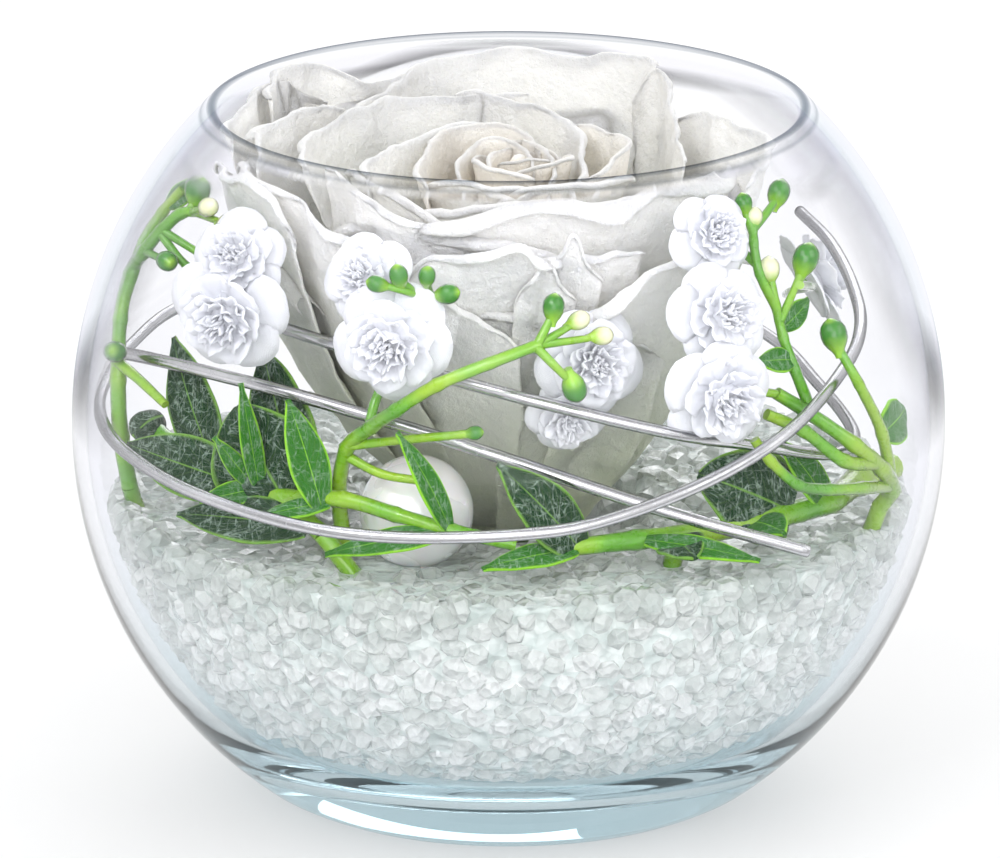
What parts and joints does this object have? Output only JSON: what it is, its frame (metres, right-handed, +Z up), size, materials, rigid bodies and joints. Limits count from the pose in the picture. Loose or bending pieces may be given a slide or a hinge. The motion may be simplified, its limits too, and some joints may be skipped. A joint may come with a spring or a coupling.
{
  "type": "preserved rose in glass globe",
  "caption": "Ivory-white preserved rose with artificial baby's breath, waxy leaves, formed wire and a pearl, standing in glass granules in a clear round bowl.",
  "frame": {"origin": "middle of the globe's flat base, at table level", "axes": "+Z up along the globe's axis, -Y towards the front of the arrangement, +X to the viewer's right"},
  "size_m": [0.12, 0.12, 0.0965],
  "materials": {
    "glass": "clear pressed glass",
    "granules": "clear to milky glass granules",
    "petals": "soft ivory petal",
    "calyx": "soft green",
    "waxy_leaf": "dark waxy green, frosted",
    "bright_stem": "bright green plastic",
    "blossom": "white ruffled fabric",
    "wire": "bright drawn wire",
    "pearl": "white pearl lustre"
  },
  "bodies": {
    "root": {"glass_globe": "glass", "granule_filling": "granules", "rose_bloom": "petals", "rose_calyx": "calyx", "leaf_sprig_left": "waxy_leaf", "leaf_sprig_right": "waxy_leaf", "spray_left": "bright_stem", "spray_centre": "bright_stem", "spray_right": "bright_stem", "blossoms_left": "blossom", "blossoms_centre": "blossom", "blossoms_front_right": "blossom", "blossoms_right": "blossom", "blossom_upper_right": "blossom", "blossom_far_right": "blossom", "wire_spiral": "wire", "wire_bar": "wire", "pearl": "pearl"}
  },
  "joints": []
}
